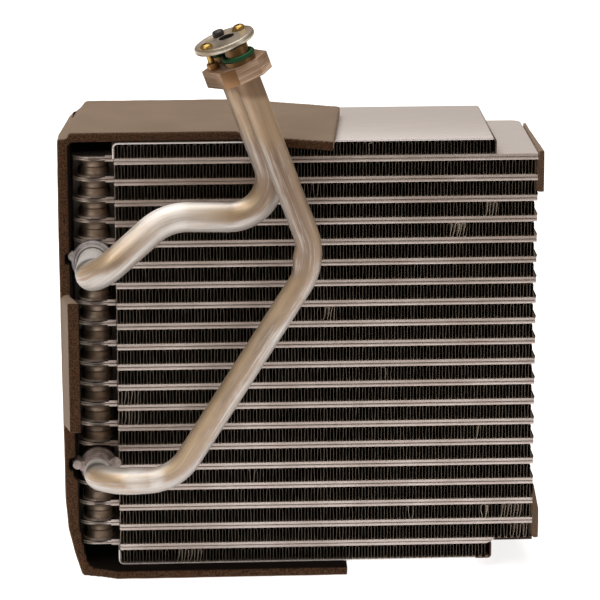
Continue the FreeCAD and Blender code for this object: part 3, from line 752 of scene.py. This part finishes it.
# pads: the packing's low and high end between the tubes' ends, how raw the cut edges look, how thin they are
# pressed towards the back and the top, and the share of the depth that they reach
padPieces = {
    "padUpper": {"node": "upper_right_pad", "packing": (205.8, 222), "raw": 0.72, "back": 0.45, "top": 0.0,
                 "reach": 0.84},
    "padLower": {"node": "lower_right_pad", "packing": (18, 40), "raw": 0.62, "back": 0.9, "top": 0.9,
                 "reach": 1.0},
}
padSize = {"inner": 109.9, "thinnest": 0.12, "backRise": 1.3, "topFrom": 0.55, "topRun": 0.45,
           "packingX": (108.2, 110.4), "packingY": (-41.6, -22)}


def markCutsAndShade(piece, corner, raw):
    # 0 on the skin, raw on sawn edges, 2 for painted shade on the side towards the core and in the hollow
    # above the first tube
    s = foamSize

    def cut(vertex):
        place, facing = vertex.co, vertex.normal
        inward = max(facing.x if place.x < s["sideInner"] else 0, -facing.z if place.z > s["topInner"] else 0,
                     facing.z if place.z < s["footInner"] else 0)
        inHollow = s["hollowX"][0] < place.x < s["hollowX"][1] and s["hollowZ"][0] < place.z < s["hollowZ"][1]
        if inHollow and place.y > s["hollowFront"]:
            inward = 1
        sawn = raw * clamp((abs(facing.y) - s["sawnFrom"]) / s["sawnRun"])
        if corner and place.x < corner[0] and place.z > corner[1]:
            sawn = 0.0
        return max(sawn, clamp((inward - s["inwardFrom"]) * s["inwardRise"], 0.0, 2.0))

    keep(piece, "cutAndShade", cut)


def foamPiece(node, name, voxel, wave, packing, corner=None, raw=1.0):
    # the solid and its packing under one skin, softened and a little wavy
    piece = joined([cadCopy(node, name)] + packing, name)
    modify(piece, "REMESH", mode="VOXEL", voxel_size=voxel)
    modify(piece, "SMOOTH", factor=0.5, iterations=2)
    softness = bpy.data.textures.new(name + "Wave", "CLOUDS")
    softness.noise_scale = foamSize["waveScale"]
    modify(piece, "DISPLACE", texture=softness, texture_coords="LOCAL", strength=wave, mid_level=0.5)
    markCutsAndShade(piece, corner, raw)
    smooth(piece, 60)
    finished(piece, [foamFinish], [node])
    return piece


def thinPad(piece, pad):
    # a pad pressed thin towards the back of the core, and towards its own top
    s = padSize
    depths = [vertex.co.y for vertex in piece.data.vertices]
    heights = [vertex.co.z for vertex in piece.data.vertices]
    front, foot, inner = min(depths), min(heights), s["inner"] * mm
    for vertex in piece.data.vertices:
        back = (vertex.co.y - front) / (max(depths) - front)
        rise = (vertex.co.z - foot) / (max(heights) - foot)
        share = 1 - pad["back"] * min(1.0, back * s["backRise"])
        share *= 1 - pad["top"] * max(0.0, rise - s["topFrom"]) / s["topRun"]
        vertex.co.y = front + (vertex.co.y - front) * pad["reach"]
        if vertex.co.x > inner:
            vertex.co.x = inner + (vertex.co.x - inner) * max(s["thinnest"], share)


print("foam")
packing = [block("packing", *[(x, y, mouth[2] + z) for x, y, z in earPacking])
           for mouth in (suctionMouth, liquidMouth)]
packing.append(block("packing", *tankPacking))
foamPiece("foam_wrap", "foamWrap", foamSize["wrapVoxel"], foamSize["wrapWave"], packing,
          foamSize["skinCorner"])
for name, pad in padPieces.items():
    packing = block("packing", *zip(padSize["packingX"], padSize["packingY"], pad["packing"]))
    piece = foamPiece(pad["node"], name, foamSize["padVoxel"], foamSize["padWave"], [packing], raw=pad["raw"])
    thinPad(piece, pad)

# pipes

pipeSize = {
    "sides": 36, "stub": 4.0, "stubBend": 20.0, "socket": 5.0, "bendStep": 5, "swellGrip": 1.2,
    "burntRun": 45.0, "reflectionSide": -0.2, "reflectionWidth": 0.5, "burntLeast": 0.25,
    "collarLightTop": 190, "collarLightFrom": -64, "collarLightRun": 16, "creaseRight": -112, "creaseAt": -57, "creaseRun": 6,
    "strongest": 0.9,  # of the whitish painted light, the crease's painted shade and the painted highlights
}
# swells: where the inner side of a bend bulges, how far it moves and how far that reaches
# glints: where painted highlights sit on the metal, and how far round they reach
suctionRoute = {
    "node": "suction_pipe", "radius": 7.7, "mouth": suctionMouth, "port": (0, portSpacing, 0),
    "turn": (-124.9, -72.5, 164.7), "rise": (-83.4, -62.5, 199.7), "topLength": 83.2,
    "bends": (15.1, 28.6, 20.5), "burntFrom": 198.0,
    "swells": [((-114.9, -58.9, 174.0), (1.6, 2.1, 1.5), 14)],
    "glints": [((-90.0, -66.0, 202.5), 15), ((-79.0, -67.0, 205.0), 14)],
}
liquidRoute = {
    "node": "liquid_pipe", "radius": 6.6, "mouth": liquidMouth, "port": (0, 0, 0),
    "turn": (-122.5, -73.5, 60.6), "rise": (-80.6, -73.5, 62.7), "topLength": 103.4,
    "bends": (21.1, 26.9, 31.0), "burntFrom": 160.0,
    "swells": [((-110.6, -62.4, 60.6), (1.2, 1.2, 1.2), 13), ((-17.5, -74.5, 179.6), (-1.8, -0.2, 0.2), 9)],
    "glints": [((-101.0, -78.0, 66.3), 8), ((-91.0, -79.4, 65.5), 6)],
}


def pipeCorners(route):
    # the mouth, the end of its stub, two corners in space, and the straight run into the block's socket
    line = blockSeat.to_3x3() @ Vector((0, 0, 1))
    port = blockSeat @ Vector(route["port"])
    mouth = Vector(route["mouth"])
    return [mouth, mouth + Vector((0, -pipeSize["stub"], 0)), Vector(route["turn"]), Vector(route["rise"]),
            port - line * route["topLength"], port + line * pipeSize["socket"]]


def drawPipe(name, route):
    # a ring pushed along each run and spun round each bend; also gives the points of the pipe's middle line
    s = pipeSize
    corners = pipeCorners(route)
    place = corners[0]
    middles = [place]
    freshStart()
    facing = (corners[1] - place).to_track_quat("Z", "Y").to_euler()
    bpy.ops.mesh.primitive_circle_add(vertices=s["sides"], radius=route["radius"], location=place,
                                      rotation=facing)
    piece = bpy.context.object
    piece.name = name
    settle()
    startEdit(piece)
    pickAll()
    bends = (s["stubBend"], *route["bends"])
    for before, corner, after, bend in zip(corners, corners[1:], corners[2:], bends):
        back, ahead = (before - corner).normalized(), (after - corner).normalized()
        halfAngle = back.angle(ahead) / 2
        bendStart = corner + back * bend / math.tan(halfAngle)
        centre = corner + (back + ahead).normalized() * bend / math.sin(halfAngle)
        turn = math.pi - 2 * halfAngle
        axis = back.cross(ahead).normalized()
        push(*(bendStart - place))
        steps = max(2, round(math.degrees(turn) / s["bendStep"]))
        bpy.ops.mesh.spin(steps=steps, angle=turn, center=centre, axis=axis)
        for i in range(steps + 1):
            middles.append(centre + Matrix.Rotation(-turn * i / steps, 3, axis) @ (bendStart - centre))
        place = corner + ahead * bend / math.tan(halfAngle)
    push(*(corners[-1] - place))
    middles.append(corners[-1])
    tidyShell()
    return piece, middles


def swell(piece, corner, step, reach):
    # moves what is nearest to a bend's corner, and less and less of what lies round it
    corner = Vector(corner)
    nearest = min((vertex.co - corner).length for vertex in bmesh.from_edit_mesh(piece.data).verts)
    pick("VERT", lambda place: (place - corner).length < nearest + pipeSize["swellGrip"])
    bpy.ops.transform.translate(value=step, use_proportional_edit=True, proportional_size=reach)


def wrapMap(piece, middles, radius):
    # a map that runs along the pipe in its first value and round it in its second, in girths
    girth = 2 * math.pi * radius
    runs = [0.0]
    for before, after in zip(middles, middles[1:]):
        runs.append(runs[-1] + (after - before).length)
    last = len(middles) - 1
    ways = [(middles[min(i + 1, last)] - middles[max(i - 1, 0)]).normalized() for i in range(last + 1)]
    side = ways[0].orthogonal().normalized()
    sides = []
    for way in ways:
        side = (side - way * side.dot(way)).normalized()
        sides.append(side)
    values = []
    for vertex in piece.data.vertices:
        i = min(range(last + 1), key=lambda k: (middles[k] - vertex.co).length)
        out = vertex.co - middles[i]
        angle = math.atan2(out.dot(ways[i].cross(sides[i])), out.dot(sides[i])) / (2 * math.pi)
        values.append((runs[i] / girth, angle))
    wrap = piece.data.uv_layers.new(name="wrap")
    for face in piece.data.polygons:
        first = values[piece.data.loops[face.loop_start].vertex_index][1]
        for loop in face.loop_indices:
            along, around = values[piece.data.loops[loop].vertex_index]
            wrap.data[loop].uv = (along, around + round(first - around))


def markPipe(piece, route):
    s = pipeSize

    def burntAndReflection(vertex):
        # heat tint from a height up, more on the side that looks a little left than on the others, where it
        # is a painted dark reflection
        heat = min(1.0, (vertex.co.z - route["burntFrom"]) / s["burntRun"])
        turned = 1 - (vertex.normal.x - s["reflectionSide"]) ** 2 / s["reflectionWidth"]
        return max(0.0, heat * max(s["burntLeast"], turned))

    def collarLight(vertex):
        # whitish painted light, stronger towards the collar
        if vertex.co.z >= s["collarLightTop"]:
            return 0.0
        return clamp((vertex.co.y - s["collarLightFrom"]) / s["collarLightRun"], 0.0, s["strongest"])

    def crease(vertex):
        # painted shade on top of the first bend, in its crease
        if vertex.co.x >= s["creaseRight"]:
            return 0.0
        nearness = max(0.0, 1 - abs(vertex.co.y - s["creaseAt"]) / s["creaseRun"])
        return nearness * clamp(2 * vertex.normal.z, 0.0, s["strongest"])

    def glint(vertex):
        distances = [(vertex.co - Vector(spot)).length / reach for spot, reach in route["glints"]]
        return s["strongest"] * max(0.0, 1 - min(distances) ** 2)

    keep(piece, "burntAndReflection", burntAndReflection)
    keep(piece, "collarLight", collarLight)
    # flank: how far each face turns up, which places the painted reflections and the painted highlight on top
    keep(piece, "flank", lambda vertex: vertex.normal.z)
    keep(piece, "crease", crease)
    keep(piece, "glint", glint)


def bentPipe(name, route):
    piece, middles = drawPipe(name, route)
    for corner, step, reach in route["swells"]:
        swell(piece, corner, step, reach)
    freshStart()
    wrapMap(piece, middles, route["radius"])
    markPipe(piece, route)
    smooth(piece, 60)
    finished(piece, [pipeFinish], [route["node"]])


print("pipes")
bentPipe("suctionPipe", suctionRoute)
bentPipe("liquidPipe", liquidRoute)

# collars

# lines: radius less the bore, and reach, of the turned shape
# ears: X and Z from the bore, radius, and where along the pipe each starts and ends
collarSize = {
    "gap": 0.15, "tankFront": -34.0, "voxel": 0.27, "steps": 48, "earSteps": 28,
    # a flange with two ridges
    "flangeLine": [(0, 0), (3.3, 0), (3.3, 2.1), (2.95, 2.8), (2.3, 2.8), (1.95, 1.9), (1.7, 2.0), (1.5, 4.0),
                   (1.1, 4.5), (0.5, 4.4), (0.3, 3.4), (0, 3.4), (0, 0)],
    "flangeEars": [(-10.2, 3.0, 2.7, 0, 2.8), (-8.0, 2.2, 2.4, 0, 2.4), (7.8, 2.7, 2.6, 0, 2.6)],
    # the same flange with a ridged sleeve
    "sleeveLine": [(0, 0), (3.3, 0), (3.3, 2.1), (2.95, 2.8), (2.3, 2.8), (1.9, 3.4), (2.7, 4.2), (2.5, 5.0),
                   (1.6, 5.5), (2.2, 6.2), (2.0, 7.0), (1.2, 7.5), (1.7, 8.2), (1.5, 9.0), (0.8, 9.5),
                   (1.2, 10.1), (1.0, 10.8), (0.3, 11.2), (0, 11.2), (0, 0)],
    "sleeveEars": [(-10.9, 2.9, 2.5, 0, 9.8), (-8.2, 2.2, 2.6, 0, 9.2), (6.4, 2.6, 2.9, 0, 10.2),
                   (9.1, 4.0, 3.1, 8.8, 10.6)],
}


def earPost(x, z, radius, start, end):
    freshStart()
    bpy.ops.mesh.primitive_cylinder_add(vertices=collarSize["earSteps"], radius=radius, depth=end - start,
                                        location=(x, -(start + end) / 2, z),
                                        rotation=(math.radians(90), 0, 0))
    return bpy.context.object


def collar(name, node, route, kind, look):
    # a turned ring and its ears, melted into one cast shape
    s = collarSize
    bore = route["radius"] + s["gap"]
    ring = lathe("ring", [(bore + out, reach) for out, reach in s[kind + "Line"]], s["steps"])
    ring.rotation_euler = (math.radians(90), 0, 0)
    piece = joined([moved(ring)] + [earPost(*ear) for ear in s[kind + "Ears"]], name)
    settle()
    modify(piece, "REMESH", mode="VOXEL", voxel_size=s["voxel"])
    modify(piece, "SMOOTH", factor=0.5, iterations=3)
    moved(piece, route["mouth"][0], s["tankFront"], route["mouth"][2])
    smooth(piece, 60)
    finished(piece, [look], [node])


print("collars")
collar("suctionCollar", "suction_collar", suctionRoute, "flange", castFinish)
collar("liquidCollar", "liquid_collar", liquidRoute, "sleeve", castStained)

# joint block and what is screwed on it, shaped upright and set on the block's seat

headSize = {
    "edgeRound": 0.35, "thick": 8.9, "shoulder": 2.4, "spigot": 8.4, "ringCord": 2.4, "ringMiddle": 7.4,
    "cover": 3.2, "coverRadius": 15.8, "coverAt": (-1, 11), "coverRound": 0.18, "hole": 4.2,
    "holeAt": (1.2, 12.5),
    "screws": ((-11.6, 9), (9.6, 15.8)), "screwHead": 3.5, "headHeight": 2.3, "shank": 1.6,
    "nutBore": 1.9, "nutRadius": 3.1, "nutHeight": 3.0, "plugStem": 1.8, "plugRadius": 3.0, "plugDepth": 4.2,
}


def seated(piece):
    focus(piece)
    piece.matrix_world = blockSeat @ piece.matrix_world
    settle()
    return piece


def faceTone(face):
    # the left side is darker and the spigots darker still, in painted shade; the upper front chamfer bright
    # with a painted highlight; the left facet golden with a painted reflection
    facing, place = upright.to_3x3() @ face.normal, upright @ (face.center / mm)
    onLeft = facing.x < -mostly
    if onLeft and place.z < headSize["thick"]:
        return -0.65
    if onLeft or place.z > headSize["thick"] + 0.3:
        return -1.0
    if facing.y < -0.3 and facing.z > 0.3:
        return 2.0
    if facing.x < -0.3 and facing.y < -0.5:
        return 1.0
    return 0.0


def jointBlock():
    head = cadCopy("joint_block", "portBlock")
    roundEdges(head, headSize["edgeRound"], 35)
    smooth(head)
    finished(head, [milledFinish], ["joint_block"])
    keep(head, "tone", faceTone, "FACE")


def sealRings():
    s = headSize
    height = s["thick"] + s["shoulder"] + s["ringCord"] / 2
    freshStart()
    rings = []
    for y in (0, portSpacing):
        bpy.ops.mesh.primitive_torus_add(major_radius=s["ringMiddle"], minor_radius=s["ringCord"] / 2,
                                         major_segments=56, minor_segments=14, location=(0, y, height))
        rings.append(bpy.context.object)
    rings = seated(joined(rings, "sealRings"))
    smooth(rings, 60)
    finished(rings, [ringFinish], ["port_rings"])


def coverDisc():
    # a disc with a rolled rim and a hole for the plug
    s = headSize
    low, rim = s["thick"] + s["spigot"], s["coverRadius"]
    high = low + s["cover"]
    outline = [(0, low), (rim - 1.2, low), (rim - 0.4, low + 0.3), (rim, low + 1.0), (rim, low + 2.2),
               (rim - 0.35, low + 2.9), (rim - 1.1, high), (rim - 2.4, high), (rim - 3.6, high - 0.5),
               (0, high - 0.5)]
    disc = lathe("portCover", outline, 72)
    moved(disc, *s["coverAt"])
    freshStart()
    bpy.ops.mesh.primitive_cylinder_add(vertices=40, radius=s["hole"], depth=3 * s["cover"],
                                        location=(*s["holeAt"], high))
    drill = bpy.context.object
    modify(disc, "BOOLEAN", object=drill, operation="DIFFERENCE", solver="EXACT")
    bpy.data.objects.remove(drill)
    roundEdges(disc, s["coverRound"], 50)
    smooth(disc)
    finished(seated(disc), [zincFinish], ["cover_disc"])


def coverScrews():
    # shank in the block, domed head with a dimple on the disc
    s = headSize
    seat = s["thick"] + s["spigot"] + s["cover"] - 0.5
    foot = s["thick"] - 3.2
    head, shank, top = s["screwHead"], s["shank"], seat + s["headHeight"]
    outline = [(0, foot), (shank - 0.3, foot), (shank, foot + 0.4), (shank, seat), (head - 0.2, seat),
               (head, seat + 0.3), (head - 0.15, seat + 0.9), (head - 0.7, seat + 1.7),
               (head - 1.5, top - 0.1), (1.35, top), (1.2, top - 0.9), (0, top - 1.0)]
    screws = [moved(lathe("screw", outline, 32), x, y) for x, y in s["screws"]]
    screws = seated(joined(screws, "coverScrews"))
    smooth(screws, 40)
    finished(screws, [goldFinish], ["cover_screws"])


def spacerNut():
    # a nut round the first screw, on the block's left ear
    s = headSize
    bore, wide, low, high = s["nutBore"], s["nutRadius"], s["thick"], s["thick"] + s["nutHeight"]
    outline = [(bore, low), (wide - 0.2, low), (wide, low + 0.2), (wide, high - 0.3), (wide - 0.2, high),
               (bore, high), (bore, low)]
    nut = lathe("earNut", outline, 32)
    moved(nut, *s["screws"][0])
    smooth(nut, 40)
    finished(seated(nut), [bronzeFinish], ["screw_spacer"])


def portPlug():
    # the plug, and a dark lining in the cover's hole, seen as the shadow in it
    s = headSize
    top, stem, wide = s["thick"] + s["spigot"] + s["cover"], s["plugStem"], s["plugRadius"]
    foot = top - s["plugDepth"]
    outline = [(0, foot), (stem, foot), (stem, top - 0.3), (wide - 0.1, top - 0.3), (wide, top),
               (wide, top + 1.5), (wide - 0.4, top + 2.1), (wide - 1.4, top + 2.4), (0, top + 2.4)]
    plug = moved(lathe("portPlug", outline, 32), 0, portSpacing)
    outer, inner = s["hole"] - 0.02, s["hole"] - 0.25
    outline = [(0, top - 2.6), (outer, top - 2.6), (outer, top - 0.6), (inner, top - 0.6), (inner, top - 2.2),
               (0, top - 2.2)]
    lining = moved(lathe("lining", outline, 32), *s["holeAt"])
    plug = joined([plug, lining], "portPlug")
    smooth(plug, 40)
    for face in plug.data.polygons:
        face.material_index = int(face.center.y < portSpacing - wide - 0.2)
    finished(seated(plug), [plugFinish, holeFinish], ["port_plug"])


print("head")
upright = blockSeat.inverted()
jointBlock()
sealRings()
coverDisc()
coverScrews()
spacerNut()
portPlug()

# floor, light and camera

stageSize = {
    "floorSide": 12, "floorAt": (0, 5.45, 0), "floorGlow": 0.8, "floorTones": (203, 206),
    "aim": (0, 0, 0.12), "airColour": (214, 194, 172), "airLight": 0.42,
    "cameraAt": (-0.10146, -1.71246, 0.59247), "cameraTurn": (75.163, 0.104, -3.026), "lens": 199.154,
}
# each soft box: where it stands, its side and its power
softBoxes = {
    "topLight": ((-0.4, 0.2, 3.2), 3.0, 90),
    "keyLight": ((-1.6, -1.9, 2.2), 1.2, 18),
    "fillLight": ((2.0, -1.6, 1.2), 1.2, 5),
}

print("stage")
freshStart()
bpy.ops.mesh.primitive_plane_add(size=stageSize["floorSide"], location=stageSize["floorAt"])
floor = bpy.context.object
floor.name = "floor"
# the floor glows a little, as a lit table does
paper = Finish("paper", Roughness=0.9, Emission_Strength=stageSize["floorGlow"], Emission_Color=(1, 1, 1, 1))
tones = [rgb(tone, tone, tone) for tone in stageSize["floorTones"]]
floor.data.materials.append(paper.feed(Base_Color=paper.blend(paper.noise(paper.place(), 6, 2), *tones)))

for name, (place, side, power) in softBoxes.items():
    bpy.ops.object.light_add(type="AREA", location=place)
    lamp = bpy.context.object
    lamp.name = name
    lamp.rotation_euler = (Vector(stageSize["aim"]) - Vector(place)).to_track_quat("-Z", "Y").to_euler()
    lamp.data.size, lamp.data.energy = side, power

world = bpy.data.worlds.new("studio")
bpy.context.scene.world = world
world.use_nodes = True
air = world.node_tree.nodes["Background"].inputs
air["Color"].default_value = rgb(*stageSize["airColour"])
air["Strength"].default_value = stageSize["airLight"]

bpy.ops.object.camera_add(location=stageSize["cameraAt"],
                          rotation=[math.radians(angle) for angle in stageSize["cameraTurn"]])
camera = bpy.context.object
camera.data.sensor_width = 36
camera.data.lens = stageSize["lens"]
bpy.context.scene.camera = camera
bpy.context.scene.view_settings.view_transform = "Standard"
